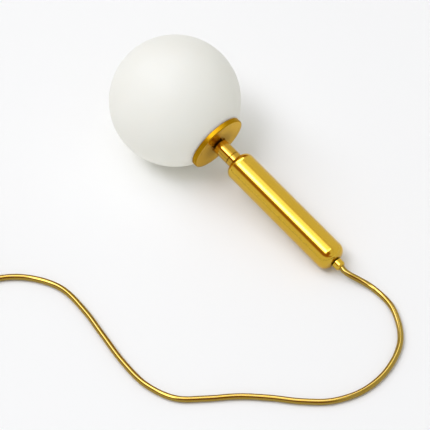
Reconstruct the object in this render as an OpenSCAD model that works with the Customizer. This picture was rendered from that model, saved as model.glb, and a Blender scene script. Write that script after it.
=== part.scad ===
// Globe pendant lamp laid on a table: an opal glass globe screwed to a brass plate, a thin neck,
// a brass tube with rounded ends, and a gold cord that runs to a cylindrical ceiling cup.
// Lamp pieces are drawn on the lamp's own axis, with height 0 at the globe's centre and the cord
// end upwards, and are then laid down on the globe and on the rounded rim of the tube.

/* [Globe] */
// Outside diameter of the glass globe
globe_d = 150; // [140:1:170]
// Thickness of the glass
globe_wall = 3; // [2:0.5:4]
// Diameter of the flat ground lip round the mouth
lip_d = 63; // [60:0.5:66]
// Bore of the threaded collar that turns inwards from the lip
collar_bore = 44; // [40:0.5:46]
// Wall of the threaded collar
collar_wall = 3; // [2:0.5:3.5]
// Depth of the threaded collar, from the lip inwards
collar_depth = 14; // [12:0.5:18]
// Thickness of the silicone ring under the lip
gasket_t = 2; // [1:0.1:2.5]
// Radial width of the silicone ring
gasket_w = 5; // [3:0.5:5.5]
// Gap from the silicone ring to the faces that it lies between
gasket_gap = 0.1; // [0.05:0.05:0.2]

/* [Gallery plate] */
// Diameter of the brass plate that covers the globe's mouth
plate_d = 71; // [66:1:80]
// Thickness of the plate over the mouth
plate_t = 2.7; // [2.5:0.1:4]
// Radius of the rim's front edge
plate_edge_r = 1; // [0.5:0.1:1.5]
// Depth of the recess that takes the neck
plate_recess = 1.5; // [1:0.1:1.8]
// Gap all round the neck in its recess
neck_gap = 0.5; // [0.3:0.1:0.8]
// Gap from the dished side of the plate to the glass
glass_gap = 1.3; // [0.3:0.1:1.5]

/* [Screw cup] */
// Depth of the threaded cup that carries the globe
cup_depth = 13.5; // [11:0.5:16]
// Wall of the cup
cup_wall = 1.5; // [1:0.1:2]
// Floor of the cup
cup_floor = 1.5; // [1:0.1:2]
// Gap between the threads of the cup and of the glass collar
thread_gap = 0.3; // [0.25:0.05:0.5]

/* [Neck and stem] */
// Diameter of the neck
neck_d = 18.7; // [16:0.1:20]
// Length of the neck sleeve
sleeve_len = 23.7; // [15:0.1:40]
// Height of the narrow foot that leaves a dark gap between the neck and the plate
foot_len = 2.4; // [1:0.1:3]
// How far the foot stands back from the neck's side
foot_inset = 2.4; // [0.8:0.1:2.6]
// Length of the short collar between the sleeve and the tube
neck_collar_len = 6.7; // [4:0.1:12]
// Chamfer on the meeting edges of the sleeve, the collar and the tube
neck_chamfer = 0.6; // [0.2:0.1:0.8]
// Outside diameter of the threaded stem that runs through the neck
stem_d = 10; // [9:0.5:11]
// Bore of the stem
stem_bore = 7; // [6.5:0.1:7.5]
// Radial gap of a hole that the stem or a cord grip passes through
stem_gap = 0.15; // [0.1:0.05:0.3]
// Width of the hexagon nuts across their flats
nut_af = 14; // [13.5:0.5:15]
// Thickness of the hexagon nuts
nut_t = 4; // [3:0.5:5]
// Length of thread that stands out past a nut
stem_over = 2; // [1:0.5:4]

/* [Body tube] */
// Diameter of the tube
tube_d = 35; // [34:0.5:42]
// Length of the tube
tube_len = 163; // [150:1:220]
// Wall of the tube
tube_wall = 1.2; // [0.8:0.1:1.5]
// Radius of the edge at the neck end
tube_neck_r = 8; // [5:0.5:9]
// Radius of the edge at the cord end
tube_cord_r = 11; // [6:0.5:11]
// Thickness of the end wall at the neck end
tube_neck_wall = 3; // [2:0.5:4]
// Thickness of the end wall at the cord end
tube_cord_wall = 2; // [1.5:0.5:3]
// Diameter of the mouth in the neck end
tube_mouth_d = 24.8; // [24:0.1:25]
// Thickness of the plug that fills the mouth
plug_t = 5; // [4:0.5:7]
// Radial gap between the plug and the mouth
plug_gap = 0.1; // [0.05:0.05:0.2]

/* [Lamp holder] */
// Diameter of the ceramic holder
holder_d = 18.4; // [18:0.1:20]
// Length of the ceramic holder
holder_len = 22; // [21:0.5:26]
// Distance between the two flats on the holder
holder_flats = 17.2; // [16.8:0.1:17.8]
// Gap between the holder and the end of the stem
holder_gap = 1.5; // [1:0.1:3]
// Width of the holder's steel strap
strap_w = 10; // [8:0.5:11]
// Thickness of the steel strap
strap_t = 1; // [0.8:0.1:1.2]
// Length of the strap's legs
strap_leg = 20; // [18:0.5:22]
// Distance of the strap's screws from the holder's lead end
strap_screw_at = 9.5; // [8:0.5:10.5]
// Distance between the bulb's two loop pins
pin_pitch = 9; // [9:0.1:9.4]

/* [Bulb] */
// Diameter of the frosted bulb
bulb_d = 16; // [15:0.5:20]
// Length of the frosted bulb, from its base to its tip
bulb_len = 34; // [26:1:40]
// Length of the bulb's base
base_len = 10; // [8:0.5:14]
// Length of the loop pins below the base
pin_len = 13; // [12:0.5:14]
// Thickness of the wire in a loop pin
pin_wire = 0.9; // [0.8:0.1:1]
// Width of a loop pin, between the middles of its wires
pin_loop = 2.4; // [2:0.1:2.6]
// Gap between the bulb's base and the holder
bulb_gap = 0.3; // [0.2:0.1:0.5]

/* [Cord] */
// Diameter of the sheathed cord
cord_d = 7; // [6.5:0.1:7]
// Diameter of the insulated cores and leads
core_d = 2; // [1.6:0.1:2.2]
// Diameter of a cord grip
grip_d = 12.5; // [11:0.5:13]
// Length of a cord grip outside the piece that it is fixed to
grip_len = 9.5; // [9:0.1:20]
// Length of the taper at a grip's tip
grip_taper = 2.2; // [2:0.1:5]
// Height of the narrow foot that leaves a dark gap under a grip
grip_foot_len = 1.2; // [0.8:0.1:2]
// How far the foot stands back from the grip's side
grip_foot_inset = 0.9; // [0.5:0.1:1]
// Length of a grip's threaded shank
grip_shank = 9; // [8:0.5:12]
// Gap between the cord and the bores that it passes through
cord_gap = 0.1; // [0.05:0.05:0.2]
// Outside radius of the coil at the middle of the cord
coil_r = 45; // [45:1:50]
// Turns in the coil, ending a quarter turn past its start
coil_turns = 4.25; // [2.25:1:4.25]
// Gap between neighbouring turns of the coil
coil_gap = 0.6; // [0.5:0.1:1]

/* [Ceiling cup] */
// Diameter of the ceiling cup
canopy_d = 66; // [64:1:80]
// Height of the ceiling cup
canopy_h = 50; // [46:1:70]
// Wall of the ceiling cup
canopy_wall = 1.2; // [0.8:0.1:1.6]
// Width of the steel crossbar in the cup's mouth
crossbar_w = 16; // [14:0.5:18]
// Thickness of the crossbar
crossbar_t = 1.5; // [1.2:0.1:2]
// Length of the crossbar's bent ears
crossbar_ear = 12; // [10:0.5:14]
// Distance between the middles of the two ceiling slots
slot_pitch = 40; // [38:1:42]
// Width of a ceiling slot
slot_w = 5; // [4.5:0.1:5.5]
// Length of a ceiling slot
slot_len = 10; // [8:0.5:11]
// Distance of the side screws from the cup's mouth
side_screw_at = 7.5; // [6.5:0.5:8.5]

/* [Terminal blocks] */
// Width of a three-way terminal block
block_w = 22; // [21:0.5:23]
// Height of a terminal block
block_h = 14; // [13:0.5:16]
// Length of a terminal block along its wires
block_len = 20; // [18:0.5:22]
// Distance between neighbouring wires in a block
block_pitch = 7; // [6.5:0.1:7.2]
// Height of the wires above the block's base
block_wire_h = 5; // [4.5:0.1:6]
// Distance from the tube's neck end to the block inside it
block_at = 45; // [40:1:60]

/* [Hidden] */
$fn = 96;

brass = [0.80, 0.61, 0.14];
satin_brass = [0.70, 0.50, 0.15];
steel = [0.72, 0.73, 0.75];
ceramic = [0.93, 0.92, 0.88];
nylon = [0.90, 0.90, 0.86];
core_brown = [0.45, 0.32, 0.22];

// Cuts reach this far past the face that they open
over = 1;

// Radii
globe_r = globe_d / 2;
lip_r = lip_d / 2;
collar_bore_r = collar_bore / 2;
plate_r = plate_d / 2;
cup_r = collar_bore_r - thread_gap;
neck_r = neck_d / 2;
stem_r = stem_d / 2;
stem_hole_r = stem_r + stem_gap;
nut_corner_r = nut_af / 2 / cos(30);
thread_fit = 0.05;
tube_r = tube_d / 2;
tube_inner_r = tube_r - tube_wall;
tube_mouth_r = tube_mouth_d / 2;
holder_r = holder_d / 2;
bulb_r = bulb_d / 2;
cord_r = cord_d / 2;
cord_sheath = 0.6;
core_r = core_d / 2;
core_ring_r = cord_r - cord_sheath - core_r;
grip_r = grip_d / 2;
canopy_r = canopy_d / 2;
canopy_inner_r = canopy_r - canopy_wall;

// Heights along the lamp's axis, from the globe's centre towards the cord; the lip's to a hundredth
lip_at = round(100 * sqrt(pow(globe_r, 2) - pow(lip_r, 2))) / 100;
gasket_at = lip_at + gasket_gap;
plate_floor_at = gasket_at + gasket_t + gasket_gap;
plate_face_at = plate_floor_at + plate_t;
plate_rim_at = sqrt(pow(globe_r + glass_gap, 2) - pow(plate_r, 2));
sleeve_at = plate_face_at - plate_recess;
neck_collar_at = sleeve_at + sleeve_len;
tube_at = neck_collar_at + neck_collar_len;
tube_end_at = tube_at + tube_len;
grip_tip_at = tube_end_at + grip_len;
strap_at = plate_floor_at - cup_floor;
stem_nut_at = strap_at - strap_t - nut_t;
stem_at = stem_nut_at - stem_over / 2;
holder_top_at = stem_at - holder_gap;
holder_at = holder_top_at - holder_len;
strap_screw_height = holder_top_at - strap_screw_at;
base_top_at = holder_at - bulb_gap;
bulb_at = base_top_at - base_len;
lug_t = 0.8;
lug_at = tube_at + plug_t;
lock_nut_at = lug_at + lug_t;
stem_end_at = lock_nut_at + nut_t + stem_over;
terminal_at = tube_at + block_at;
terminal_end_at = terminal_at + block_len;
core_run = 40;
cord_cut_at = terminal_end_at + core_run;

// The lamp lies on the globe and on the round edge of the tube's cord end
edge_at = tube_end_at - tube_cord_r;
edge_r = tube_r - tube_cord_r;
tilt = asin((globe_r - tube_cord_r) / norm([edge_at, edge_r])) - atan2(edge_r, edge_at);
axis_dir = [cos(tilt), 0, -sin(tilt)];
grip_tip_wall = 1.3;
grip_tip_r = cord_r + grip_tip_wall;
globe_x = -(grip_tip_at * cos(tilt) + grip_tip_r * sin(tilt) - globe_r) / 2;
globe_centre = [globe_x, 0, globe_r];

module lying() {
    translate(globe_centre)
        rotate([0, 90 + tilt, 0])
            children();
}

// Profile and hardware shapes

// What a rounding of radius r takes off a corner that points to +x and +y
module corner_cut(r) {
    difference() {
        translate([-r, -r])
            square(r + over);
        translate([-r, -r])
            circle(r);
    }
}

// What a chamfer c takes off the same corner
module chamfer_cut(c) {
    polygon([[-c, over], [-c, 0], [0, -c], [over, -c], [over, over]]);
}

// Half outline of a closed can from height bottom to top, with its two edges rounded
module can_outline(r, bottom, top, bottom_r, top_r) {
    difference() {
        translate([0, bottom])
            square([r, top - bottom]);
        translate([r, top])
            corner_cut(top_r);
        translate([r, bottom])
            mirror([0, 1])
                corner_cut(bottom_r);
    }
}

// Half disc of radius r, cut flat at the height top
module cut_disc(r, top) {
    intersection() {
        circle(r);
        translate([0, -r])
            square([r, r + top]);
    }
}

module ring(inner, outer, h) {
    rotate_extrude()
        translate([inner, 0])
            square([outer - inner, h]);
}

// Hexagon nut with chamfered corners and a plain bore
module hex_nut(bore_r) {
    chamfer = nut_corner_r - nut_af / 2;
    difference() {
        intersection() {
            cylinder(r = nut_corner_r, h = nut_t, $fn = 6);
            rotate_extrude()
                difference() {
                    square([nut_corner_r + over, nut_t]);
                    translate([nut_corner_r, nut_t])
                        chamfer_cut(chamfer);
                    translate([nut_corner_r, 0])
                        mirror([0, 1])
                            chamfer_cut(chamfer);
                }
        }
        translate([0, 0, -over])
            cylinder(r = bore_r, h = nut_t + 2 * over);
    }
}

// Slotted cheese-head screw along +z, with the underside of its head at 0
module cheese_screw(shank_r, shank_len, head_r, head_h) {
    slot = head_h / 3;
    difference() {
        union() {
            translate([0, 0, -shank_len])
                cylinder(r = shank_r, h = shank_len + head_h / 2, $fn = 48);
            cylinder(r = head_r, h = head_h, $fn = 48);
        }
        translate([-head_r - over, -slot / 2, head_h - slot])
            cube([2 * (head_r + over), slot, slot + over]);
    }
}

// Strip bent to a U: a base of length 2 * half on the y axis, with legs that hang down from it
module bent_strip(half, leg, t, w) {
    bend_r = 1.5 * t;
    translate([w / 2, 0, 0])
        rotate([0, -90, 0])
            linear_extrude(w)
                difference() {
                    bend_outline(half, leg, bend_r);
                    translate([-t, 0])
                        bend_outline(half - t, leg - t + over, bend_r - t);
                }
}

// Rectangle from the height -leg to 0, both upper corners rounded, drawn with its height on x
module bend_outline(half, leg, r) {
    difference() {
        translate([-leg, -half])
            square([leg, 2 * half]);
        for (side = [0, 1])
            mirror([0, side])
                translate([0, half])
                    corner_cut(r);
    }
}

// Stadium of a total length along y
module stadium(length, width) {
    square([width, length - width], center = true);
    for (side = [-1, 1])
        translate([0, side * (length - width) / 2])
            circle(d = width, $fn = 48);
}

// Cord grip: a shank through the wall below 0, a round head above it that tapers to the cord
grip_wall = 0.5;
grip_bore_r = stem_r - grip_wall;
collet_stop = grip_len - grip_taper - grip_wall;
module grip_shape() {
    rotate_extrude()
        difference() {
            union() {
                translate([0, -grip_shank])
                    square([stem_r, grip_shank + over]);
                polygon([
                    [0, 0],
                    [grip_r - grip_foot_inset, 0],
                    [grip_r - grip_foot_inset, grip_foot_len],
                    [grip_r, grip_foot_len],
                    [grip_r, grip_len - grip_taper],
                    [grip_tip_r, grip_len],
                    [0, grip_len]
                ]);
            }
            translate([0, -grip_shank - over])
                square([grip_bore_r, grip_shank + over + collet_stop]);
            translate([0, collet_stop - over])
                square([cord_r + cord_gap, grip_len]);
        }
}

// Slit nylon sleeve that clamps the cord inside a grip
collet_slits = 3;
collet_slit_w = 0.8;
module collet_shape() {
    sleeve_r = grip_bore_r - cord_gap;
    difference() {
        translate([0, 0, -grip_shank])
            ring(cord_r + cord_gap, sleeve_r, grip_shank + collet_stop - cord_gap);
        for (k = [0 : collet_slits - 1])
            rotate(k * 360 / collet_slits)
                translate([0, -collet_slit_w / 2, 0])
                    cube([sleeve_r + over, collet_slit_w, grip_len]);
    }
}

// Three-way terminal block: base at x = 0, screws on the side of -x, wires along z
block_hole_gap = 0.4;
block_hole_r = core_r + block_hole_gap;
block_screw_r = 1.5;
block_screw_gap = 0.1;
block_screw_sink = 1;
block_screw_head = 2.4;
screw_inset = 5;
block_ways = [-block_pitch, 0, block_pitch];
block_rows = [screw_inset, block_len - screw_inset];
module block_shape() {
    difference() {
        translate([-block_h, -block_w / 2, 0])
            cube([block_h, block_w, block_len]);
        for (y = block_ways) {
            translate([-block_wire_h, y, -over])
                cylinder(r = block_hole_r, h = block_len + 2 * over, $fn = 48);
            for (z = block_rows)
                translate([-block_wire_h, y, z])
                    rotate([0, -90, 0])
                        cylinder(r = block_screw_r + block_screw_gap, h = block_h, $fn = 48);
        }
    }
}

// The slotted grub screws of a block, sunk in their holes, each standing just clear of its wire
module block_screw_set() {
    screw_low = block_wire_h + core_r + block_screw_gap;
    head_low = block_h - block_screw_sink - block_screw_head;
    for (y = block_ways)
        for (z = block_rows)
            translate([-head_low, y, z])
                rotate([0, -90, 0])
                    cheese_screw(block_screw_r, head_low - screw_low, block_screw_r, block_screw_head);
}

// Tubes swept along a route

function unit(v) = v / norm(v);
function smooth(t) = t * t * (3 - 2 * t);

// Point at the share t of the stretch from b to c, on a smooth curve through a, b, c and d
function curve_point(a, b, c, d, t) =
    ((2 * b) + (c - a) * t + (2 * a - 5 * b + 4 * c - d) * t * t + (3 * b - a - 3 * c + d) * t * t * t) / 2;

// Smooth curve through all points, leaving the first along start_dir and reaching the last along end_dir
function curve(points, start_dir, end_dir, steps) =
    let (
        last = len(points) - 1,
        before = points[1] - 2 * norm(points[1] - points[0]) * start_dir,
        after = points[last - 1] + 2 * norm(points[last] - points[last - 1]) * end_dir,
        all = concat([before], points, [after])
    )
    concat(
        [for (i = [0 : last - 1]) for (k = [0 : steps - 1])
            curve_point(all[i], all[i + 1], all[i + 2], all[i + 3], k / steps)],
        [points[last]]
    );

function heading(line, i, start_dir, end_dir) =
    i == 0 ? start_dir : i == len(line) - 1 ? end_dir : unit(line[i + 1] - line[i - 1]);

// Ring of a tube round the point p, square to the heading h, with its first corner along flat
function tube_ring(p, h, flat, r, sides) =
    let (a = unit(cross(h, flat)), b = cross(a, h), step = 360 / sides)
    [for (k = [0 : sides - 1]) p + r * (cos((k + 0.5) * step) * b + sin((k + 0.5) * step) * a)];

// Closed round tube of radius r along a line of points; flat is a direction that the line never takes
module swept_tube(line, r, sides, start_dir, end_dir, flat) {
    count = len(line);
    last_ring = (count - 1) * sides;
    points = [for (i = [0 : count - 1])
        each tube_ring(line[i], heading(line, i, start_dir, end_dir), flat, r, sides)];
    walls = [for (i = [0 : count - 2]) for (k = [0 : sides - 1])
        let (a = i * sides + k, b = i * sides + (k + 1) % sides)
        each [[a, b, a + sides], [b, b + sides, a + sides]]];
    start_cap = [for (k = [1 : sides - 2]) [0, k + 1, k]];
    end_cap = [for (k = [1 : sides - 2]) [last_ring, last_ring + k, last_ring + k + 1]];
    polyhedron(points, concat(walls, start_cap, end_cap));
}

up = [0, 0, 1];
sideways = [0, 1, 0];
wire_sides = 8;

// Globe and the pieces that carry it

module glass_globe() {
    color([0.96, 0.96, 0.93])
        lying()
            rotate_extrude($fn = 180)
                difference() {
                    union() {
                        difference() {
                            cut_disc(globe_r, lip_at);
                            cut_disc(globe_r - globe_wall, lip_at - globe_wall);
                        }
                        translate([collar_bore_r, lip_at - collar_depth])
                            square([collar_wall, collar_depth]);
                    }
                    translate([0, lip_at - collar_depth - over])
                        square([collar_bore_r, collar_depth + 2 * over]);
                }
}

gasket_inset = 2;
gasket_inner_r = collar_bore_r + gasket_inset;
module globe_gasket() {
    color([0.88, 0.88, 0.86])
        lying()
            translate([0, 0, gasket_at])
                ring(gasket_inner_r, gasket_inner_r + gasket_w, gasket_t);
}

module gallery_plate() {
    color(satin_brass)
        lying()
            rotate_extrude($fn = 180)
                difference() {
                    translate([0, plate_rim_at])
                        square([plate_r, plate_face_at - plate_rim_at]);
                    translate([plate_r, plate_face_at])
                        corner_cut(plate_edge_r);
                    cut_disc(globe_r + glass_gap, plate_floor_at);
                    translate([0, sleeve_at])
                        square([neck_r + neck_gap, plate_t]);
                    translate([0, plate_floor_at - over])
                        square([stem_hole_r, plate_t + over]);
                }
}

module globe_screw_cup() {
    color(steel)
        lying()
            rotate_extrude()
                difference() {
                    translate([stem_hole_r, plate_floor_at - cup_depth])
                        square([cup_r - stem_hole_r, cup_depth]);
                    translate([0, plate_floor_at - cup_depth - over])
                        square([cup_r - cup_wall, cup_depth - cup_floor + over]);
                }
}

module threaded_stem() {
    color(steel)
        lying()
            translate([0, 0, stem_at])
                ring(stem_bore / 2, stem_r, stem_end_at - stem_at);
}

module stem_nut() {
    color(brass)
        lying()
            translate([0, 0, stem_nut_at])
                hex_nut(stem_r + thread_fit);
}

// Lamp holder

seat_fit = 0.05;
strap_half = holder_flats / 2 + seat_fit + strap_t;
screw_r = 1.5;
screw_head_r = 2.6;
screw_head_h = 2;
screw_clear = 0.2;
holder_screw_len = 5;
strap_eye_r = 8;
module holder_strap() {
    drill = 2 * (strap_half + over);
    color(steel)
        lying()
            difference() {
                union() {
                    translate([0, 0, strap_at])
                        bent_strip(strap_half, strap_leg, strap_t, strap_w);
                    translate([0, 0, strap_at - strap_t])
                        cylinder(r = strap_eye_r, h = strap_t);
                }
                translate([0, 0, strap_at - strap_t - over])
                    cylinder(r = stem_hole_r, h = strap_t + 2 * over);
                translate([0, 0, strap_screw_height])
                    rotate([90, 0, 0])
                        cylinder(r = screw_r + screw_clear, h = drill, center = true, $fn = 48);
            }
}

contact_gap = 0.2;
leaf_t = 0.4;
leaf_w = 4;
leaf_x = pin_wire / 2 + contact_gap;
clip_x = leaf_x + leaf_t;
pocket_x = clip_x + contact_gap;
pocket_y = leaf_w / 2 + contact_gap;
pocket_floor = 6;
pocket_at = holder_at + pocket_floor;
pocket_h = 11;
pin_slot_gap = 0.4;
slot_x = pin_wire / 2 + pin_slot_gap;
slot_y = (pin_loop + pin_wire) / 2 + pin_slot_gap;
lead_x = 1.9;
lead_gap = 0.15;
lead_hole_r = core_r + lead_gap;
lead_hole_depth = 3.5;
holder_edge_r = 1;
module lamp_holder() {
    tapped = 2 * (holder_screw_len - strap_t);
    color(ceramic)
        lying()
            difference() {
                intersection() {
                    rotate_extrude()
                        can_outline(holder_r, holder_at, holder_top_at, holder_edge_r, holder_edge_r);
                    translate([-holder_r, -holder_flats / 2, holder_at])
                        cube([holder_d, holder_flats, holder_len]);
                }
                for (side = [-1, 1]) {
                    translate([side * pin_pitch / 2 - slot_x, -slot_y, holder_at - over])
                        cube([2 * slot_x, 2 * slot_y, pocket_at - holder_at + 2 * over]);
                    translate([side * pin_pitch / 2 - pocket_x, -pocket_y, pocket_at])
                        cube([2 * pocket_x, 2 * pocket_y, pocket_h]);
                    translate([side * lead_x, 0, holder_top_at - lead_hole_depth])
                        cylinder(r = lead_hole_r, h = lead_hole_depth + over, $fn = 48);
                    translate([0, side * holder_flats / 2, strap_screw_height])
                        rotate([90, 0, 0])
                            cylinder(r = screw_r + thread_fit, h = tapped, center = true, $fn = 48);
                }
            }
}

module holder_screws() {
    color(steel)
        lying()
            for (side = [0, 180])
                rotate(side)
                    translate([0, strap_half, strap_screw_height])
                        rotate([-90, 0, 0])
                            cheese_screw(screw_r, holder_screw_len - seat_fit, screw_head_r, screw_head_h);
}

// Two spring clips that grip the loop pins inside the ceramic
clip_len = 9.5;
module holder_contacts() {
    color([0.80, 0.55, 0.30])
        lying()
            for (side = [-1, 1])
                translate([side * pin_pitch / 2, 0, pocket_at + pocket_h - seat_fit])
                    mirror([0, 0, 1])
                        difference() {
                            translate([-clip_x, -leaf_w / 2, 0])
                                cube([2 * clip_x, leaf_w, clip_len]);
                            translate([-leaf_x, -leaf_w, leaf_t])
                                cube([2 * leaf_x, 2 * leaf_w, clip_len]);
                        }
}

// Bulb

bulb_wall = 1;
spigot_len = 3;
flange_t = 2;
base_edge_r = 0.8;
pin_root = 3;
module bulb_dome() {
    color([0.97, 0.96, 0.92])
        lying()
            rotate_extrude()
                difference() {
                    bulb_outline(bulb_r, bulb_at);
                    bulb_outline(bulb_r - bulb_wall, bulb_at + over);
                }
}

// Half outline of a round-ended bulb up to the height top, with its tip's round at the bulb's own
module bulb_outline(r, top) {
    round_at = bulb_at - bulb_len + bulb_r;
    translate([0, round_at])
        square([r, top - round_at]);
    translate([0, round_at])
        cut_disc(r, 0);
}

module bulb_base() {
    neck_of_base = bulb_r - base_edge_r;
    color(ceramic)
        lying()
            difference() {
                rotate_extrude()
                    difference() {
                        union() {
                            translate([0, bulb_at - spigot_len])
                                square([bulb_r - bulb_wall - seat_fit, spigot_len]);
                            translate([0, bulb_at])
                                square([bulb_r, flange_t]);
                            translate([0, bulb_at])
                                square([neck_of_base, base_len]);
                        }
                        translate([neck_of_base, base_top_at])
                            corner_cut(base_edge_r);
                    }
                for (side = [-1, 1])
                    for (wire = [-1, 1])
                        translate([side * pin_pitch / 2, wire * pin_loop / 2, base_top_at - pin_root])
                            cylinder(d = pin_wire + 2 * seat_fit, h = pin_root + over, $fn = 24);
            }
}

module bulb_pins() {
    straight = pin_len - pin_loop / 2 - pin_wire / 2 + pin_root - seat_fit;
    color(steel)
        lying()
            for (side = [-1, 1])
                translate([side * pin_pitch / 2, 0, base_top_at - pin_root + seat_fit]) {
                    for (wire = [-1, 1])
                        translate([0, wire * pin_loop / 2, 0])
                            cylinder(d = pin_wire, h = straight, $fn = 24);
                    translate([0, 0, straight])
                        rotate([90, 0, 90])
                            rotate_extrude(angle = 180, $fn = 48)
                                translate([pin_loop / 2, 0])
                                    circle(d = pin_wire, $fn = 24);
                }
}

// Neck

module neck_sleeve() {
    color(brass)
        lying()
            rotate_extrude()
                difference() {
                    translate([stem_hole_r, sleeve_at])
                        square([neck_r - stem_hole_r, sleeve_len]);
                    translate([neck_r - foot_inset, sleeve_at - over])
                        square([foot_inset + over, foot_len + plate_recess + over]);
                    translate([neck_r, neck_collar_at])
                        chamfer_cut(neck_chamfer);
                }
}

module neck_collar() {
    color(brass)
        lying()
            rotate_extrude()
                difference() {
                    translate([stem_hole_r, neck_collar_at])
                        square([neck_r - stem_hole_r, neck_collar_len]);
                    translate([neck_r, tube_at])
                        chamfer_cut(neck_chamfer);
                    translate([neck_r, neck_collar_at])
                        mirror([0, 1])
                            chamfer_cut(neck_chamfer);
                }
}

// Body tube and what it holds

// Inside, the round of the cord end leaves a flat seat for the grip's nut
nut_play = 0.3;
inner_cord_r = min(tube_cord_r - tube_wall, tube_inner_r - nut_corner_r - nut_play);
module body_tube() {
    color(brass)
        lying()
            rotate_extrude($fn = 180)
                difference() {
                    can_outline(tube_r, tube_at, tube_end_at, tube_neck_r, tube_cord_r);
                    can_outline(tube_inner_r, tube_at + tube_neck_wall, tube_end_at - tube_cord_wall,
                        tube_neck_r - tube_wall, inner_cord_r);
                    translate([0, tube_at - over])
                        square([tube_mouth_r, tube_neck_wall + tube_neck_r]);
                    translate([0, tube_end_at - tube_cord_wall - over])
                        square([stem_hole_r, tube_cord_wall + 2 * over]);
                }
}

// The plug is turned to the same round as the tube's end
module body_end_plug() {
    color(brass)
        lying()
            rotate_extrude($fn = 180)
                intersection() {
                    can_outline(tube_r, tube_at, tube_end_at, tube_neck_r, tube_cord_r);
                    translate([stem_hole_r, tube_at])
                        square([tube_mouth_r - plug_gap - stem_hole_r, plug_t]);
                }
}

lug_r = 8;
lug_tail_w = 4;
barrel_at = 11;
barrel_len = 6;
module earth_lug() {
    color(steel)
        lying()
            translate([0, 0, lug_at])
                difference() {
                    union() {
                        cylinder(r = lug_r, h = lug_t);
                        translate([0, -lug_tail_w / 2, 0])
                            cube([barrel_at, lug_tail_w, lug_t]);
                        translate([barrel_at, 0, 0])
                            cylinder(d = lug_tail_w, h = barrel_len, $fn = 48);
                    }
                    translate([0, 0, -over])
                        cylinder(r = stem_hole_r, h = lug_t + 2 * over);
                    translate([barrel_at, 0, lug_t])
                        cylinder(r = core_r + cord_gap, h = barrel_len, $fn = 48);
                }
}

module stem_lock_nut() {
    color(steel)
        lying()
            translate([0, 0, lock_nut_at])
                hex_nut(stem_r + thread_fit);
}

// The block lies in the tube on its two lower edges
block_fit = 0.2;
block_base_x = sqrt(pow(tube_inner_r - block_fit, 2) - pow(block_w / 2, 2));
block_wire_x = block_base_x - block_wire_h;
wire_in_block = 4;
module terminal_block() {
    color(nylon)
        lying()
            translate([block_base_x, 0, terminal_at])
                block_shape();
}

module terminal_screws() {
    color(steel)
        lying()
            translate([block_base_x, 0, terminal_at])
                block_screw_set();
}

// Wire from one place and height to another, drifting sideways between the heights bend_from and bend_to
function drift(from, to, from_at, bend_from, bend_to, to_at) = concat(
    [[from.x, from.y, from_at]],
    [for (k = [0 : 6])
        let (t = k / 6, p = from + (to - from) * smooth(t))
        [p.x, p.y, bend_from + (bend_to - bend_from) * t]],
    [[to.x, to.y, to_at]]
);

module straight_wire(line) {
    swept_tube(line, core_r, wire_sides, up, up, sideways);
}

// Two heat-proof leads from the lamp holder, through the stem, to the block
module lamp_leads() {
    color([0.95, 0.93, 0.88])
        lying()
            for (side = [-1, 1])
                straight_wire(drift([side * lead_x, 0], [block_wire_x, side * block_pitch],
                    holder_top_at - lead_hole_depth + seat_fit, stem_end_at + over,
                    terminal_at - over, terminal_at + wire_in_block));
}

module earth_lead() {
    color([0.35, 0.60, 0.20])
        lying()
            straight_wire(drift([barrel_at, 0], [block_wire_x, 0], lug_at + lug_t + seat_fit,
                lug_at + barrel_len + over, terminal_at - over, terminal_at + wire_in_block));
}

// Place of each core inside the cord, in the order of the block's ways
core_places = [for (a = [-90, 180, 90]) core_ring_r * [cos(a), sin(a)]];
core_bend = 8;
module cord_cores() {
    color(core_brown)
        lying()
            for (k = [0 : 2])
                straight_wire(drift([block_wire_x, block_ways[k]], core_places[k],
                    terminal_end_at - wire_in_block, terminal_end_at + core_bend,
                    cord_cut_at - core_bend, cord_cut_at));
}

module cord_inner() {
    color(satin_brass)
        lying()
            translate([0, 0, cord_cut_at])
                cylinder(r = cord_r, h = grip_tip_at - cord_cut_at);
}

module cord_grip() {
    color(brass)
        lying()
            translate([0, 0, tube_end_at])
                grip_shape();
}

module grip_collet() {
    color(nylon)
        lying()
            translate([0, 0, tube_end_at])
                collet_shape();
}

module grip_nut() {
    color(brass)
        lying()
            translate([0, 0, tube_end_at - tube_cord_wall - nut_t])
                hex_nut(stem_r + thread_fit);
}

// Free cord

cord_sides = 10;
cord_steps = 2;
cord_start_gap = 0.05;
cord_straight = 10;
cord_exit = globe_centre + (grip_tip_at + cord_start_gap) * axis_dir;
lie = cord_r;
coil_start = [-98, -308];
cord_route = concat(
    [cord_exit, cord_exit + cord_straight * axis_dir],
    [
        [211, 9, lie + 0.5], [247, 4, lie], [282, -21, lie], [300, -59, lie], [302, -98, lie],
        [289, -132, lie], [266, -157, lie], [238, -179, lie], [213, -202, lie], [191, -229, lie],
        [167, -253, lie], [132, -263, lie], [93, -260, lie], [52, -251, lie], [12, -242, lie],
        [-29, -239, lie], [-63, -253, lie], [-87, -277, lie], [coil_start.x, coil_start.y, lie]
    ]
);
cord_line = curve(cord_route, axis_dir, [0, -1, 0], cord_steps);
module cord() {
    color(satin_brass)
        swept_tube(cord_line, cord_r, cord_sides, axis_dir, [0, -1, 0], up);
}

// Coil of the length that is put away: it winds in, climbs a layer and winds out again

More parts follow.
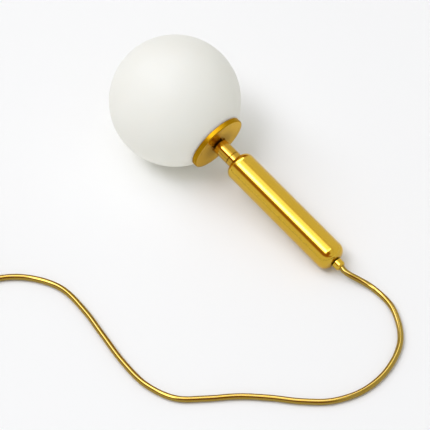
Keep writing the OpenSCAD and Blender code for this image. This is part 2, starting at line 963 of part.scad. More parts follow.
coil_sides = 6;
rings_per_turn = 24;
coil_pitch = cord_d + coil_gap;
coil_rings = coil_turns * rings_per_turn;
coil_centre = [coil_start.x - coil_r, coil_start.y - cord_d];
climb_turns = 0.5;
function coil_point(turn) =
    let (
        r = coil_r - coil_pitch * min(turn, coil_turns - turn),
        climbed = min(1, max(0, (turn - coil_turns / 2) / climb_turns + 0.5)),
        a = -360 * turn
    )
    [coil_centre.x + r * cos(a), coil_centre.y + r * sin(a), cord_r + coil_pitch * smooth(climbed)];
coil_loops = [for (k = [0 : coil_rings]) coil_point(k / rings_per_turn)];
coil_end = coil_loops[coil_rings] - [cord_d, 0, 0];
coil_line = concat([[coil_start.x, coil_start.y, cord_r]], coil_loops, [coil_end]);
module cord_coil() {
    color(satin_brass)
        swept_tube(coil_line, cord_r, coil_sides, [0, -1, 0], [-1, 0, 0], up);
}

// Least gap of the coil to itself, measured between points that lie at least half a turn apart
coil_last = len(coil_line) - 1;
coil_least_gap = min([for (i = [0 : coil_last])
    for (j = [i + rings_per_turn / 2 : 1 : coil_last]) norm(coil_line[i] - coil_line[j])]) - cord_d;
echo(coil_least_gap = coil_least_gap);

// Tail from the top of the coil up into the ceiling cup, which lies on its side
tail_len = 73;
tail_rings = 6;
tail_line = [for (k = [0 : tail_rings])
    coil_end + [-tail_len * k / tail_rings, 0, (canopy_r - coil_end.z) * smooth(k / tail_rings)]];
tail_end = tail_line[tail_rings];
module cord_tail() {
    color(satin_brass)
        swept_tube(tail_line, cord_r, cord_sides, [-1, 0, 0], [-1, 0, 0], up);
}

// Ceiling cup, drawn with its closed end at 0 and its mouth upwards

canopy_place = tail_end - [grip_len + cord_start_gap, 0, 0];
module in_canopy() {
    translate(canopy_place)
        rotate([0, -90, 0])
            children();
}

side_screw_height = canopy_h - side_screw_at;
module canopy_cup() {
    drill = canopy_d + 2 * over;
    color(brass)
        in_canopy()
            difference() {
                rotate_extrude($fn = 180)
                    difference() {
                        can_outline(canopy_r, 0, canopy_h, tube_cord_r, canopy_wall / 3);
                        can_outline(canopy_inner_r, canopy_wall, canopy_h + over,
                            tube_cord_r - canopy_wall, over / 2);
                        translate([0, -over])
                            square([stem_hole_r, canopy_wall + 2 * over]);
                    }
                translate([0, 0, side_screw_height])
                    rotate([90, 0, 0])
                        cylinder(r = screw_r + screw_clear, h = drill, center = true, $fn = 48);
            }
}

module canopy_grip() {
    color(brass)
        in_canopy()
            mirror([0, 0, 1])
                grip_shape();
}

module canopy_collet() {
    color(nylon)
        in_canopy()
            mirror([0, 0, 1])
                collet_shape();
}

module canopy_grip_nut() {
    color(brass)
        in_canopy()
            translate([0, 0, canopy_wall])
                hex_nut(stem_r + thread_fit);
}

sheath_over = 3;
canopy_cord_cut = grip_shank + sheath_over;
module canopy_cord_end() {
    color(satin_brass)
        in_canopy()
            translate([0, 0, -grip_len])
                cylinder(r = cord_r, h = grip_len + canopy_cord_cut);
}

crossbar_fit = 0.2;
crossbar_half = sqrt(pow(canopy_inner_r - crossbar_fit, 2) - pow(crossbar_w / 2, 2));
module ceiling_crossbar() {
    color(steel)
        in_canopy()
            difference() {
                translate([0, 0, canopy_h])
                    bent_strip(crossbar_half, crossbar_ear, crossbar_t, crossbar_w);
                translate([0, 0, side_screw_height])
                    rotate([90, 0, 0])
                        cylinder(r = screw_r + thread_fit, h = canopy_d, center = true, $fn = 48);
                for (side = [-1, 1])
                    translate([0, side * slot_pitch / 2, canopy_h - crossbar_t - over])
                        linear_extrude(crossbar_t + 2 * over)
                            stadium(slot_len, slot_w);
            }
}

side_screw_reach = 2;
module canopy_side_screws() {
    side_screw_len = canopy_r - crossbar_half + crossbar_t + side_screw_reach;
    color(brass)
        in_canopy()
            for (side = [0, 180])
                rotate(side)
                    translate([0, canopy_r, side_screw_height])
                        rotate([-90, 0, 0])
                            cheese_screw(screw_r, side_screw_len, screw_head_r, screw_head_h);
}

// The block is screwed flat to the crossbar, between the two slots
module on_crossbar() {
    in_canopy()
        translate([block_len / 2, 0, canopy_h - crossbar_t])
            rotate([0, -90, 0])
                children();
}

module canopy_terminal_block() {
    color(nylon)
        on_crossbar()
            block_shape();
}

module canopy_terminal_screws() {
    color(steel)
        on_crossbar()
            block_screw_set();
}

// Cores that spread from the cord and turn back, in a half circle, into the side of the block
core_turn = 7.5;
core_lead = 4;
core_steps = 2;
turn_angles = [-60, 0, 60];
module canopy_cores() {
    entry_x = block_len / 2;
    entry_z = canopy_h - crossbar_t - block_wire_h;
    color(core_brown)
        in_canopy()
            for (k = [0 : 2]) {
                from = core_places[k];
                y = block_ways[k];
                route = concat(
                    [[from.x, from.y, canopy_cord_cut], [from.x, from.y, canopy_cord_cut + core_lead]],
                    [for (a = turn_angles)
                        [entry_x + core_turn * cos(a), y, entry_z - core_turn + core_turn * sin(a)]],
                    [[entry_x, y, entry_z], [entry_x - wire_in_block, y, entry_z]]
                );
                line = curve(route, up, [-1, 0, 0], core_steps);
                swept_tube(line, core_r, wire_sides, up, [-1, 0, 0], sideways);
            }
}

glass_globe();
globe_gasket();
gallery_plate();
globe_screw_cup();
threaded_stem();
stem_nut();
holder_strap();
lamp_holder();
holder_screws();
holder_contacts();
bulb_dome();
bulb_base();
bulb_pins();
neck_sleeve();
neck_collar();
body_tube();
body_end_plug();
earth_lug();
stem_lock_nut();
lamp_leads();
earth_lead();
terminal_block();
terminal_screws();
cord_cores();
cord_inner();
cord_grip();
grip_collet();
grip_nut();
cord();
cord_coil();
cord_tail();
canopy_cup();
canopy_grip();
canopy_collet();
canopy_grip_nut();
canopy_cord_end();
canopy_cores();
canopy_terminal_block();
canopy_terminal_screws();
ceiling_crossbar();
canopy_side_screws();
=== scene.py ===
# Globe pendant lamp laid on a white table: an opal glass globe on a satin brass plate, a thin neck,
# a polished brass tube, and a gold sheathed cord that runs through a coil into a ceiling cup.

import math
import bpy
from mathutils import Matrix, Vector


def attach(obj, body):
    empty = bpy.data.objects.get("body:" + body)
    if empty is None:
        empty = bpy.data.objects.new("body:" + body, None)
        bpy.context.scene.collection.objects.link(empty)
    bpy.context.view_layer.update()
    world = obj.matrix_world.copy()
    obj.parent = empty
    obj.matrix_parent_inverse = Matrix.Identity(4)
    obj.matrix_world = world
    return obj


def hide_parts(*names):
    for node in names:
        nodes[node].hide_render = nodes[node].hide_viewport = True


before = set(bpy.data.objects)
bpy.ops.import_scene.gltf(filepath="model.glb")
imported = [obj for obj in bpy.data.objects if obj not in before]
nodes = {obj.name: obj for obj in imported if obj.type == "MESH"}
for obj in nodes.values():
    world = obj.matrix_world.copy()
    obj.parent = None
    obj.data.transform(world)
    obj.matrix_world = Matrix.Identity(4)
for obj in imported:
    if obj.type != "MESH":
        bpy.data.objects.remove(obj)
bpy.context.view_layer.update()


# Glass globe
# A blown ball of white opal glass, etched to a silky matt, with a ground lip round its mouth. It is
# screwed on to the cup under the plate by its own thread, and turns with the globe's body.

class Shade:
    """One socket of a node tree. An expression on shades adds its Math nodes."""

    def __init__(self, tree, socket=None):
        self.tree = tree
        self.socket = socket

    def add(self, kind, settings=None, sockets=None, output=0):
        """Adds any node: first its settings, then the values or links of its sockets."""
        node = self.tree.nodes.new(kind)
        for name, value in (settings or {}).items():
            setattr(node, name, value)
        for name, value in (sockets or {}).items():
            if isinstance(value, Shade):
                self.tree.links.new(value.socket, node.inputs[name])
            else:
                node.inputs[name].default_value = value
        return Shade(self.tree, node.outputs[output] if len(node.outputs) else None)

    def math(self, operation, *values):
        return self.add("ShaderNodeMath", {"operation": operation}, dict(enumerate(values)))

    def step(self, low, high):
        """0 below low, 1 above high, and a smooth rise between them"""
        return self.add("ShaderNodeMapRange", {"interpolation_type": "SMOOTHSTEP"},
                        {0: self, 1: low, 2: high})

    def __add__(self, other):
        return self.math("ADD", self, other)

    def __radd__(self, other):
        return self.math("ADD", other, self)

    def __rsub__(self, other):
        return self.math("SUBTRACT", other, self)

    def __mul__(self, other):
        return self.math("MULTIPLY", self, other)

    def __rmul__(self, other):
        return self.math("MULTIPLY", other, self)


def new_finish(name, constants):
    """A material with constant values on its surface's sockets, and a shade to add its nodes from"""
    finish = bpy.data.materials.new(name)
    finish.use_nodes = True
    surface = finish.node_tree.nodes["Principled BSDF"]
    for socket, value in constants.items():
        surface.inputs[socket].default_value = value
    return finish, Shade(finish.node_tree)


def feed(finish, shades):
    """Links the shades that change over the surface to its sockets"""
    surface = finish.node_tree.nodes["Principled BSDF"]
    for socket, shade in shades.items():
        finish.node_tree.links.new(shade.socket, surface.inputs[socket])


def dress(finish, *names):
    """Gives a finish to CAD nodes"""
    for name in names:
        slots = nodes[name].data.materials
        slots.clear()
        slots.append(finish)


def blend_colours(shade, factor, low, high):
    """A colour between two that are numbers or shades"""
    low, high = [end if isinstance(end, Shade) else (*end, 1) for end in (low, high)]
    return shade.add("ShaderNodeMix", {"data_type": "RGBA"}, {0: factor, 6: low, 7: high}, output=2)


def grain(shade, place, scale, detail=2.0):
    """Noise over a place, about scale grains to the metre"""
    return shade.add("ShaderNodeTexNoise", {}, {"Vector": place, "Scale": scale, "Detail": detail})


def band(value, low, high, soft):
    """1 between low and high, with soft edges"""
    return value.step(low - soft, low + soft) * (1 - value.step(high - soft, high + soft))


def bump(shade, height, depth, strength):
    return shade.add("ShaderNodeBump", {}, {"Height": height, "Distance": depth, "Strength": strength})


opal, shade = new_finish("opal_glass", {
    "Subsurface Weight": 0.25, "Subsurface Scale": 0.008, "Subsurface Radius": (0.8, 0.9, 1.0),
    "Specular IOR Level": 0.25,
})
place = shade.add("ShaderNodeTexCoord", output="Object")
cloud = grain(shade, place, 18)
etch = grain(shade, place, 2600, 3)
feed(opal, {
    "Base Color": blend_colours(shade, cloud, (0.935, 0.935, 0.845), (0.96, 0.96, 0.875)),
    "Roughness": 0.36 + 0.14 * etch,
    "Normal": bump(shade, etch, 0.00005, 0.12),
})
dress(opal, "glass_globe")


# Gasket
# A flat ring of clear-white silicone under the globe's lip, pressed out of sheet. It is free between
# the lip and the plate, and slides out with the globe as that is unscrewed.

silicone, shade = new_finish("silicone", {"Subsurface Weight": 0.3, "Subsurface Scale": 0.003})
place = shade.add("ShaderNodeTexCoord", output="Object")
dust = grain(shade, place, 1500)
feed(silicone, {
    "Base Color": blend_colours(shade, dust, (0.78, 0.78, 0.75), (0.88, 0.88, 0.86)),
    "Roughness": 0.45 + 0.25 * dust,
})
dress(silicone, "globe_gasket")


# Gallery plate
# A turned brass plate over the globe's mouth, dished to the glass. Its face is satin with fine tool
# rings, and its colour is painted darker towards the neck, a painted shade and reflection of the neck.
# Its rim is duller. The neck stands in its recess and the stem clamps it.

globe_centre = Vector((-0.096639, 0, 0.075))
tilt = math.radians(13.130647)
axis = Vector((math.cos(tilt), 0, -math.sin(tilt)))


def lamp_place(shade):
    """Place on the lamp's own axis: z runs from the globe's centre towards the cord"""
    place = shade.add("ShaderNodeTexCoord", output="Object")
    return shade.add("ShaderNodeMapping", {"vector_type": "TEXTURE"}, {
        "Vector": place, "Location": globe_centre, "Rotation": (0, math.pi / 2 + tilt, 0)})


def across_axis(shade, place):
    """Distance from the axis of a place"""
    flat = shade.add("ShaderNodeVectorMath", {"operation": "MULTIPLY"}, {0: place, 1: (1, 1, 0)})
    return shade.add("ShaderNodeVectorMath", {"operation": "LENGTH"}, {0: flat}, output="Value")


satin, shade = new_finish("satin_brass", {"Metallic": 1.0, "Specular Tint": (1, 0.87, 0.54, 1)})
place = lamp_place(shade)
radius = across_axis(shade, place)
face_r, face_soft = 0.0345, 0.0002
painted_shade_r, painted_shade_end_r = 0.006, 0.027
face = 1 - radius.step(face_r - face_soft, face_r + face_soft)
rings = shade.add("ShaderNodeTexNoise", {"noise_dimensions": "1D"},
                  {"W": radius, "Scale": 2200, "Detail": 1})
tone = grain(shade, place, 60)
rim_gold = blend_colours(shade, tone, (0.345, 0.18, 0.003), (0.385, 0.205, 0.005))
outer_gold = blend_colours(shade, tone, (0.76, 0.46, 0.05), (0.80, 0.50, 0.065))
# Painted shade: the face's gold darkens from the outer face in to the neck.
face_gold_with_painted_shade = blend_colours(shade, radius.step(painted_shade_r, painted_shade_end_r), (0.34, 0.17, 0.012), outer_gold)
feed(satin, {
    "Base Color": blend_colours(shade, face, rim_gold, face_gold_with_painted_shade),
    "Roughness": 0.40 - face * (0.28 - 0.06 * rings),
    "Normal": bump(shade, rings * face, 0.0004, 0.5),
})
dress(satin, "gallery_plate")


# Screw cup, stem, strap and nuts
# Pressed and turned steel, zinc plated, with a brass nut at the strap. The stem runs through the cup,
# the plate, the neck and the tube's plug, and its two nuts clamp them. The strap carries the holder.

zinc, shade = new_finish("zinc_steel", {"Metallic": 1.0})
place = shade.add("ShaderNodeTexCoord", output="Object")
spangle = shade.add("ShaderNodeTexVoronoi", {}, {"Vector": place, "Scale": 900}, output="Color")
spangle = shade.add("ShaderNodeSeparateColor", {}, {"Color": spangle})
rub = grain(shade, place, 240, 4)
feed(zinc, {
    "Base Color": blend_colours(shade, spangle, (0.60, 0.61, 0.62), (0.74, 0.75, 0.76)),
    "Roughness": 0.24 + 0.14 * rub,
    "Normal": bump(shade, rub, 0.00008, 0.15),
})
dress(zinc, "globe_screw_cup", "threaded_stem", "holder_strap", "stem_lock_nut", "earth_lug",
      "holder_screws", "bulb_pins", "terminal_screws", "canopy_terminal_screws", "ceiling_crossbar")


# Rolled thread of the cup
# One round ridge in the steel cup's wall, rolled from the inside, that the glass collar screws on to.
# It belongs to the cup, and starts and ends a little short of its edges.

def new_tree(name, sizes):
    """A Geometry Nodes tree with named inputs, and a shade to add its nodes from"""
    tree = bpy.data.node_groups.new(name, "GeometryNodeTree")
    tree.interface.new_socket("Geometry", in_out="OUTPUT", socket_type="NodeSocketGeometry")
    tree.interface.new_socket("Geometry", in_out="INPUT", socket_type="NodeSocketGeometry")
    for label, kind in sizes.items():
        tree.interface.new_socket(label, in_out="INPUT", socket_type=kind)
    return tree, Shade(tree)


def close_tree(shade, shape):
    """Ends a tree in Realize Instances and Set Material"""
    plain = shade.add("GeometryNodeRealizeInstances", {}, {0: shape})
    smooth = shade.add("GeometryNodeSetShadeSmooth", {}, {0: plain})
    finish = shade.add("NodeGroupInput", output="Finish")
    painted = shade.add("GeometryNodeSetMaterial", {}, {"Geometry": smooth, "Material": finish})
    shade.add("NodeGroupOutput", {}, {"Geometry": painted})


def grow(name, start, tree, values, place=Matrix()):
    """A plain mesh object from a tree, its start mesh and the values of its inputs"""
    piece = bpy.data.objects.new(name, start)
    bpy.context.scene.collection.objects.link(piece)
    modifier = piece.modifiers.new("grow", "NODES")
    modifier.node_group = tree
    for item in tree.interface.items_tree:
        if item.in_out == "INPUT" and item.name in values:
            modifier[item.identifier] = values[item.name]
    graph = bpy.context.evaluated_depsgraph_get()
    plain = bpy.data.meshes.new_from_object(piece.evaluated_get(graph))
    piece.modifiers.clear()
    plain.transform(place)
    piece.data = plain
    return piece


on_lamp = Matrix.Translation(globe_centre) @ Matrix.Rotation(math.pi / 2 + tilt, 4, "Y")
cup_radius, cup_low, cup_high = 0.0217, 0.05676, 0.07026
thread_pitch, ridge, proud = 0.004, 0.0007, 0.00022
bare_edges, bare_low = 0.004, 0.0014

tree, shade = new_tree("rolled_thread", {
    "Turns": "NodeSocketFloat", "Thread radius": "NodeSocketFloat", "Thread height": "NodeSocketFloat",
    "Ridge radius": "NodeSocketFloat", "Finish": "NodeSocketMaterial",
})
thread_r = shade.add("NodeGroupInput", output="Thread radius")
helix = shade.add("GeometryNodeCurveSpiral", {}, {
    "Resolution": 96,
    "Rotations": shade.add("NodeGroupInput", output="Turns"),
    "Start Radius": thread_r, "End Radius": thread_r,
    "Height": shade.add("NodeGroupInput", output="Thread height"),
})
wire = shade.add("GeometryNodeCurvePrimitiveCircle", {}, {
    "Resolution": 12, "Radius": shade.add("NodeGroupInput", output="Ridge radius")})
close_tree(shade, shade.add("GeometryNodeCurveToMesh", {}, {
    "Curve": helix, "Profile Curve": wire, "Fill Caps": True}))

thread_height = cup_high - cup_low - bare_edges
cup_thread = grow("cup_thread", bpy.data.meshes.new("cup_thread"), tree, {
    "Turns": thread_height / thread_pitch, "Thread radius": cup_radius - ridge + proud,
    "Thread height": thread_height, "Ridge radius": ridge, "Finish": zinc,
}, on_lamp @ Matrix.Translation((0, 0, cup_low + bare_low)))
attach(cup_thread, "lamp")


# Lamp holder
# A pressed and fired steatite body with two spring clips of bronze strip inside, screwed between the
# legs of the strap. Two heat-proof leads go from it through the stem.

steatite, shade = new_finish("steatite", {})
place = shade.add("ShaderNodeTexCoord", output="Object")
speck = grain(shade, place, 3500, 3)
feed(steatite, {
    "Base Color": blend_colours(shade, speck.step(0.35, 0.7), (0.80, 0.78, 0.72), (0.89, 0.88, 0.84)),
    "Roughness": 0.5 + 0.25 * speck,
    "Normal": bump(shade, speck, 0.0001, 0.2),
})
dress(steatite, "lamp_holder", "bulb_base")

bronze, shade = new_finish("spring_bronze", {"Metallic": 1.0})
place = shade.add("ShaderNodeTexCoord", output="Object")
rub = grain(shade, place, 700, 3)
feed(bronze, {
    "Base Color": blend_colours(shade, rub, (0.58, 0.30, 0.13), (0.70, 0.40, 0.20)),
    "Roughness": 0.22 + 0.2 * rub,
})
dress(bronze, "holder_contacts")


# Bulb
# A capsule of frosted glass cemented on a ceramic base with two wire loops as pins, which push into
# the holder's clips. It pulls straight out once the globe is off.

frosted, shade = new_finish("frosted_glass", {
    "Subsurface Weight": 0.4, "Subsurface Scale": 0.004, "Specular IOR Level": 0.4})
place = shade.add("ShaderNodeTexCoord", output="Object")
frost = grain(shade, place, 4200, 3)
feed(frosted, {
    "Base Color": blend_colours(shade, frost, (0.90, 0.90, 0.87), (0.96, 0.95, 0.92)),
    "Roughness": 0.42 + 0.2 * frost,
    "Normal": bump(shade, frost, 0.00005, 0.2),
})
dress(frosted, "bulb_dome")


# Neck, tube and cord grip
# Drawn brass, polished to a soft mirror and lacquered. The turned neck's gold is painted darker, a
# painted shade for the darker reflections it shows. The neck's two sleeves sit on the stem, a plug
# closes the tube, and the grip is nutted inside its round end.
# The undercuts at the neck's foot and at the grip, and the neck's groove, are painted near black:
# painted shade in these recesses.


def coordinate(shade, place, letter):
    """One coordinate of a place, by its letter"""
    return shade.add("ShaderNodeSeparateXYZ", {}, {0: place}, output=letter)


polished, shade = new_finish("polished_brass", {
    "Metallic": 1.0, "Specular Tint": (0.95, 0.76, 0.36, 1), "Coat Roughness": 0.05})
place = lamp_place(shade)
height = coordinate(shade, place, "Z")
foot_low, foot_high, neck_high = 0.0729, 0.0744, 0.1017
groove_low, groove_high = 0.0949, 0.0954
grip_low, grip_high = 0.26486, 0.26606
edge_soft, groove_shade = 0.0002, 0.7
# Painted shade: near black, rougher and uncoated in the undercuts and, a little less, in the groove.
painted_recess_shade = (band(height, foot_low, foot_high, edge_soft)
            + band(height, grip_low, grip_high, edge_soft / 2)
            + groove_shade * band(height, groove_low, groove_high, edge_soft))
on_neck = band(height, foot_high, neck_high, edge_soft)
drawn = shade.add("ShaderNodeMapping", {}, {"Vector": place, "Scale": (1.0, 1.0, 0.004)})
lines = grain(shade, drawn, 1800, 3)
haze = grain(shade, place, 45, 3)
tube_gold = blend_colours(shade, haze, (0.565, 0.35, 0.012), (0.605, 0.385, 0.02))
# Painted shade: the neck's gold is darker than the tube's, standing in for its darker reflections.
shaded_neck_gold = blend_colours(shade, haze, (0.46, 0.26, 0.007), (0.50, 0.29, 0.012))
gold = blend_colours(shade, on_neck, tube_gold, shaded_neck_gold)
feed(polished, {
    "Base Color": blend_colours(shade, painted_recess_shade, gold, (0.02, 0.007, 0.001)),
    "Roughness": 0.12 + 0.02 * lines + 0.02 * haze + 0.4 * painted_recess_shade,
    "Coat Weight": (0.58 + 0.1 * haze) * (1 - painted_recess_shade),
})
dress(polished, "stem_nut", "neck_sleeve", "neck_collar", "body_tube", "body_end_plug", "cord_grip",
      "grip_nut", "canopy_cup", "canopy_grip", "canopy_grip_nut", "canopy_side_screws")


# Wiring
# Nylon terminal blocks and collets, and soft insulated cores. Inside the tube the lamp's two leads
# and the earth meet the cord's cores in one block, and the ceiling cup has another.

nylon, shade = new_finish("nylon", {"Subsurface Weight": 0.15, "Subsurface Scale": 0.002})
place = shade.add("ShaderNodeTexCoord", output="Object")
mould = grain(shade, place, 1800, 3)
feed(nylon, {
    "Base Color": blend_colours(shade, mould, (0.80, 0.80, 0.76), (0.88, 0.88, 0.84)),
    "Roughness": 0.36 + 0.2 * mould,
    "Normal": bump(shade, mould, 0.00006, 0.15),
})
dress(nylon, "terminal_block", "grip_collet", "canopy_terminal_block", "canopy_collet")


def insulation(name, low, high):
    finish, shade = new_finish(name, {})
    place = shade.add("ShaderNodeTexCoord", output="Object")
    skin = grain(shade, place, 1200, 3)
    feed(finish, {
        "Base Color": blend_colours(shade, skin, low, high),
        "Roughness": 0.38 + 0.2 * skin,
        "Normal": bump(shade, skin, 0.00005, 0.15),
    })
    return finish


dress(insulation("wire_insulation", (0.80, 0.78, 0.72), (0.88, 0.86, 0.81)), "lamp_leads")
dress(insulation("earth_insulation", (0.09, 0.27, 0.04), (0.14, 0.36, 0.07)), "earth_lead")
dress(insulation("core_insulation", (0.15, 0.075, 0.035), (0.21, 0.11, 0.055)),
      "cord_cores", "canopy_cores")


# Cord
# A round mains cord of three twisted cores in a smooth, glossy sheath with gold pigment. It leaves the
# grip, drops to the table, lies in loose curves and is wound in a coil of two layers before the cup.

cord_r = 0.0035
grip_tip, straight = 0.27441, 0.01
cord_exit = globe_centre + grip_tip * axis
laid_mm = [
    (211, 9, 4), (247, 4, 3.5), (282, -21, 3.5), (300, -59, 3.5), (302, -98, 3.5),
    (289, -132, 3.5), (266, -157, 3.5), (238, -179, 3.5), (213, -202, 3.5), (191, -229, 3.5),
    (167, -253, 3.5), (132, -263, 3.5), (93, -260, 3.5), (52, -251, 3.5), (12, -242, 3.5),
    (-29, -239, 3.5), (-63, -253, 3.5), (-87, -277, 3.5), (-98, -308, 3.5),
]
route = [cord_exit, cord_exit + straight * axis] + [Vector(point) / 1000 for point in laid_mm]
start_dir, end_dir = axis, Vector((0, -1, 0))
before = route[1] - 2 * (route[1] - route[0]).length * start_dir
after = route[-2] + 2 * (route[-1] - route[-2]).length * end_dir
ends = [before] + route + [after]
steps = 12
path = []
for a, b, c, d in zip(ends, ends[1:], ends[2:], ends[3:]):
    for k in range(steps):
        t = k / steps
        path.append(((2 * b) + (c - a) * t + (2 * a - 5 * b + 4 * c - d) * t * t
                     + (3 * b - a - 3 * c + d) * t ** 3) / 2)
path.append(route[-1])

coil_turns, coil_r, coil_pitch = 4.25, 0.045, 0.0076
coil_centre = Vector((-0.143, -0.315, 0))
climb_turns, turn_steps = 0.5, 96


def smooth(t):
    t = min(1, max(0, t))
    return t * t * (3 - 2 * t)


def coil_place(turn):
    """Radius and height of the coil: inwards below, up one layer half way, and outwards on top"""
    r = coil_r - coil_pitch * min(turn, coil_turns - turn)
    climb = coil_pitch * smooth((turn - coil_turns / 2) / climb_turns + 0.5)
    return r, cord_r + climb


for k in range(int(coil_turns * turn_steps) + 1):
    turn = k / turn_steps
    r, z = coil_place(turn)
    angle = -2 * math.pi * turn
    path.append(coil_centre + Vector((r * math.cos(angle), r * math.sin(angle), z)))

tail_start = path[-1] - Vector((2 * cord_r, 0, 0))
tail_len, tail_top, tail_steps = 0.073, 0.033, 24
for k in range(tail_steps + 1):
    t = k / tail_steps
    path.append(tail_start + Vector((-tail_len * t, 0, (tail_top - tail_start.z) * smooth(t))))

tree, shade = new_tree("sheathed_cord", {
    "Cord radius": "NodeSocketFloat", "Ring spacing": "NodeSocketFloat", "Sides": "NodeSocketInt",
    "Finish": "NodeSocketMaterial",
})
line = shade.add("GeometryNodeMeshToCurve", {}, {
    "Mesh": shade.add("NodeGroupInput", output="Geometry")})
line = shade.add("GeometryNodeResampleCurve", {"mode": "LENGTH"}, {
    "Curve": line, "Length": shade.add("NodeGroupInput", output="Ring spacing")})
line = shade.add("GeometryNodeStoreNamedAttribute", {"data_type": "FLOAT", "domain": "POINT"}, {
    "Geometry": line, "Name": "along",
    "Value": shade.add("GeometryNodeSplineParameter", output="Length")})
section = shade.add("GeometryNodeCurvePrimitiveCircle", {}, {
    "Resolution": shade.add("NodeGroupInput", output="Sides"),
    "Radius": shade.add("NodeGroupInput", output="Cord radius")})
outward = shade.add("ShaderNodeVectorMath", {"operation": "NORMALIZE"}, {
    0: shade.add("GeometryNodeInputPosition")})
section = shade.add("GeometryNodeStoreNamedAttribute", {
    "data_type": "FLOAT_VECTOR", "domain": "POINT"}, {
    "Geometry": section, "Name": "around", "Value": outward})
close_tree(shade, shade.add("GeometryNodeCurveToMesh", {}, {
    "Curve": line, "Profile Curve": section, "Fill Caps": True}))

sheath, shade = new_finish("gold_sheath", {
    "Specular Tint": (0.95, 0.76, 0.36, 1), "Coat Roughness": 0.03})
around = shade.add("ShaderNodeAttribute", {"attribute_name": "around"}, output="Vector")
turned = shade.math("ARCTAN2", coordinate(shade, around, "Y"), coordinate(shade, around, "X"))
along = shade.add("ShaderNodeAttribute", {"attribute_name": "along"}, output="Fac")
cores, core_lay = 3, 0.055
ripple = shade.math("SINE", cores * turned + (2 * math.pi / core_lay) * along)
place = shade.add("ShaderNodeTexCoord", output="Object")
flake = grain(shade, place, 3800)
feed(sheath, {
    "Base Color": blend_colours(shade, flake, (0.27, 0.172, 0.004), (0.33, 0.21, 0.008)),
    "Metallic": 0.92 + 0.08 * flake,
    "Roughness": 0.07 + 0.04 * flake,
    "Coat Weight": 0.75 + 0.2 * flake,
    "Normal": bump(shade, ripple, 0.00003, 0.3),
})
dress(sheath, "cord_inner", "canopy_cord_end")

centreline = bpy.data.meshes.new("cord_line")
centreline.from_pydata(path, [(k, k + 1) for k in range(len(path) - 1)], [])
ring_spacing, cord_sides = 0.0015, 24
cord = grow("gold_cord", centreline, tree, {
    "Cord radius": cord_r, "Ring spacing": ring_spacing, "Sides": cord_sides, "Finish": sheath})
cord_length = sum((b - a).length for a, b in zip(path, path[1:]))
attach(cord, "lamp")
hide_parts("cord", "cord_coil", "cord_tail")


# Coil tie
# A strip of black woven hook tape round the coil's bundle, lapped on itself over the top. It holds
# the put-away length together and comes off by hand.

tie_angle = math.radians(200)
tie_width, tie_thick, table_gap = 0.009, 0.0007, 0.0001
lap_gap, lap_turn, lap_length, lap_angle = 0.0008, 0.9, 0.2, 0.6 * math.pi
rounds, round_length = 72, 0.0009
tie_turn = 1 - tie_angle / (2 * math.pi)
bundle = [coil_place(tie_turn + whole) for whole in range(int(coil_turns))]
outline = []
for k in range(rounds):
    a = 2 * math.pi * k / rounds + lap_angle
    facing = (math.cos(a), math.sin(a))
    outline.append((max(bundle, key=lambda p: p[0] * facing[0] + p[1] * facing[1]), facing))
radial = Vector((math.cos(tie_angle), math.sin(tie_angle), 0))
sideways = Vector((-radial.y, radial.x, 0))
verts, faces, strip_at = [], [], []
lap_rounds = int(rounds * (1 + lap_length))
for k in range(lap_rounds + 1):
    (r, z), (out, up) = outline[k % rounds]
    lift = cord_r + lap_gap * smooth((k / rounds - lap_turn) / (1 - lap_turn))
    for depth, side in ((0, -1), (0, 1), (tie_thick, 1), (tie_thick, -1)):
        height = max(table_gap + (tie_thick - depth) * 0.3, z + up * (lift + depth))
        flat = coil_centre + radial * (r + out * (lift + depth)) + sideways * (side * tie_width / 2)
        verts.append(Vector((flat.x, flat.y, height)))
        strip_at.append((k * round_length, side * tie_width / 2, depth))
    if k:
        low = 4 * (k - 1)
        for corner in range(4):
            nxt = (corner + 1) % 4
            faces.append((low + corner, low + nxt, low + 4 + nxt, low + 4 + corner))
faces += [(3, 2, 1, 0), tuple(4 * lap_rounds + c for c in range(4))]
tape = bpy.data.meshes.new("coil_tie")
tape.from_pydata(verts, [], faces)
weave_at = tape.attributes.new("weave_at", "FLOAT_VECTOR", "POINT")
weave_at.data.foreach_set("vector", [value for point in strip_at for value in point])
tie = bpy.data.objects.new("coil_tie", tape)
bpy.context.scene.collection.objects.link(tie)

black_tape, shade = new_finish("black_tape", {"Sheen Weight": 0.4})
strip = shade.add("ShaderNodeAttribute", {"attribute_name": "weave_at"}, output="Vector")
weave = shade.add("ShaderNodeTexWave", {"wave_type": "BANDS", "bands_direction": "DIAGONAL"}, {
    "Vector": strip, "Scale": 330, "Distortion": 0.6, "Detail": 1}, output="Fac")
fluff = grain(shade, strip, 2400, 3)
yarn = weave * 0.6 + fluff * 0.4
feed(black_tape, {
    "Base Color": blend_colours(shade, yarn, (0.012, 0.012, 0.014), (0.06, 0.06, 0.065)),
    "Roughness": 0.75 + 0.2 * fluff,
    "Normal": bump(shade, weave + fluff, 0.0003, 0.5),
})
tape.materials.append(black_tape)
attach(tie, "lamp")


# Ceiling cup
# The far end of the cord: a spun brass cup on its side, with its grip, terminals, slotted crossbar
# and two side screws, all CAD solids in the finishes above. They lie where the cord takes them.


# Table, light and camera
# A wide white table top in a soft studio. A key light, a wing beside it and a fill hang overhead, and
# the room is brighter in front and a little behind. Polished metal shows white walls instead, with
# dark gaps and three narrow panels. The camera looks down from far off.


def towards(shade, place, direction):
    """How far a place lies in a direction"""
    return shade.add("ShaderNodeVectorMath", {"operation": "DOT_PRODUCT"},
                     {0: place, 1: direction}, output="Value")


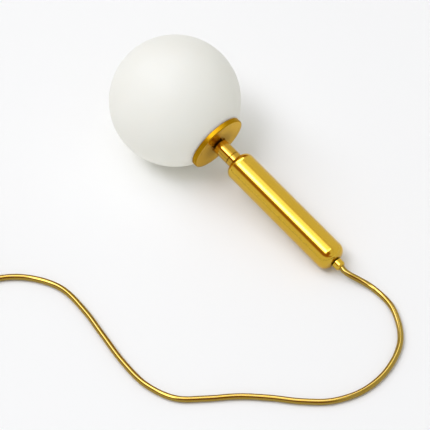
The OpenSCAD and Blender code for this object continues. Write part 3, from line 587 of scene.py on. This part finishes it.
table_mesh = bpy.data.meshes.new("table")
reach, table_z = 6.0, -0.0003
table_mesh.from_pydata([(-reach, -reach, table_z), (reach, -reach, table_z),
                        (reach, reach, table_z), (-reach, reach, table_z)], [], [(0, 1, 2, 3)])
table = bpy.data.objects.new("table", table_mesh)
bpy.context.scene.collection.objects.link(table)
white_top, shade = new_finish("white_top", {"Specular IOR Level": 0.1})
place = shade.add("ShaderNodeTexCoord", output="Object")
# Painted fall-off of the light: the top is painted a little darker towards its +X +Y side.
painted_falloff = towards(shade, place, (0.7, 0.7, 0)).step(-0.15, 0.2)
feed(white_top, {
    "Base Color": blend_colours(shade, painted_falloff, (0.968, 0.966, 0.944), (0.945, 0.943, 0.921)),
    "Roughness": 0.85 + 0.1 * grain(shade, place, 300),
})
table_mesh.materials.append(white_top)

world = bpy.data.worlds.new("studio")
world.use_nodes = True
bpy.context.scene.world = world
shade = Shade(world.node_tree)
facing = shade.add("ShaderNodeTexCoord", output="Generated")
east = coordinate(shade, facing, "X")
lean = shade.math("ARCTAN2", coordinate(shade, facing, "Y"), coordinate(shade, facing, "Z"))


def patch(leans, lean_soft, easts, east_soft):
    """A soft-edged patch of the studio, by its lean to the north and its reach to the east"""
    return band(lean, *leans, lean_soft) * band(east, *easts, east_soft)


key = patch((-0.60, -0.29), 0.09, (-0.22, 0.07), 0.06)
wing = patch((-0.60, -0.29), 0.09, (-0.80, -0.22), 0.06)
fill = patch((-0.32, 0.22), 0.10, (-0.80, 0.06), 0.06)
panels = (patch((-0.50, -0.05), 0.06, (-0.85, -0.28), 0.05)
          + patch((-0.08, 0.60), 0.06, (-0.42, -0.17), 0.04)
          + patch((-0.30, 0.22), 0.08, (0.05, 0.18), 0.03))

south_gap = band(lean, -1.10, -0.72, 0.08)
north_gap = 0.25 * band(lean, 0.30, 0.46, 0.06)
east_gap = patch((-1.10, -0.20), 0.08, (0.20, 0.75), 0.06)
west_gap = patch((0.66, 1.40), 0.08, (-0.95, -0.30), 0.06)
gap = shade.math("MAXIMUM", south_gap + north_gap, east_gap)
gap = shade.math("MAXIMUM", gap, west_gap)
walls = blend_colours(shade, gap, (0.96, 0.95, 0.82), (0.42, 0.16, 0.03))

front = towards(shade, facing, (0.456, -0.35, 0.818)).step(0.3, 1.0)
back = towards(shade, facing, (0.15, 0.63, 0.76)).step(0.2, 1.0)
room = blend_colours(shade, front, (0.32, 0.31, 0.275), (0.65, 0.66, 0.67))
room = shade.add("ShaderNodeVectorMath", {"operation": "ADD"}, {0: room, 1: 0.15 * back})

seen = shade.add("ShaderNodeLightPath", output="Is Camera Ray")
for ray in ("Is Glossy Ray", "Is Transmission Ray"):
    seen = shade.math("MAXIMUM", seen, shade.add("ShaderNodeLightPath", output=ray))
ambient = blend_colours(shade, seen, room, walls)
key_power, key_shine, wing_power, fill_power, panel_power = 7.1, 1.7, 2.9, 1.05, 4.5
lamps = (key * (key_power + key_shine * seen) + (1 - seen) * wing * wing_power
         + fill * fill_power + seen * panels * panel_power)
tint = blend_colours(shade, seen, (0.985, 0.995, 1.10), (0.96, 1, 1.45))
lamps = shade.add("ShaderNodeVectorMath", {"operation": "MULTIPLY"}, {0: tint, 1: lamps})
lit = shade.add("ShaderNodeVectorMath", {"operation": "ADD"}, {0: ambient, 1: lamps})
background = world.node_tree.nodes["Background"]
world.node_tree.links.new(lit.socket, background.inputs["Color"])

right = Vector((0.69585, 0.71819, 0))
upward = Vector((-0.55451, 0.53727, 0.63550))
sight = Vector((-0.45641, 0.44221, -0.77210))
camera = bpy.data.objects.new("camera", bpy.data.cameras.new("camera"))
bpy.context.scene.collection.objects.link(camera)
camera.data.lens = 280
camera.data.sensor_width = 36
aside, below, distance = 0.045257, 0.129604, 3.7908
stand = globe_centre + aside * right - below * upward - distance * sight
camera.matrix_world = Matrix.Translation(stand) @ Matrix((right, upward, -sight)).transposed().to_4x4()
bpy.context.scene.camera = camera
bpy.context.scene.view_settings.view_transform = "Standard"
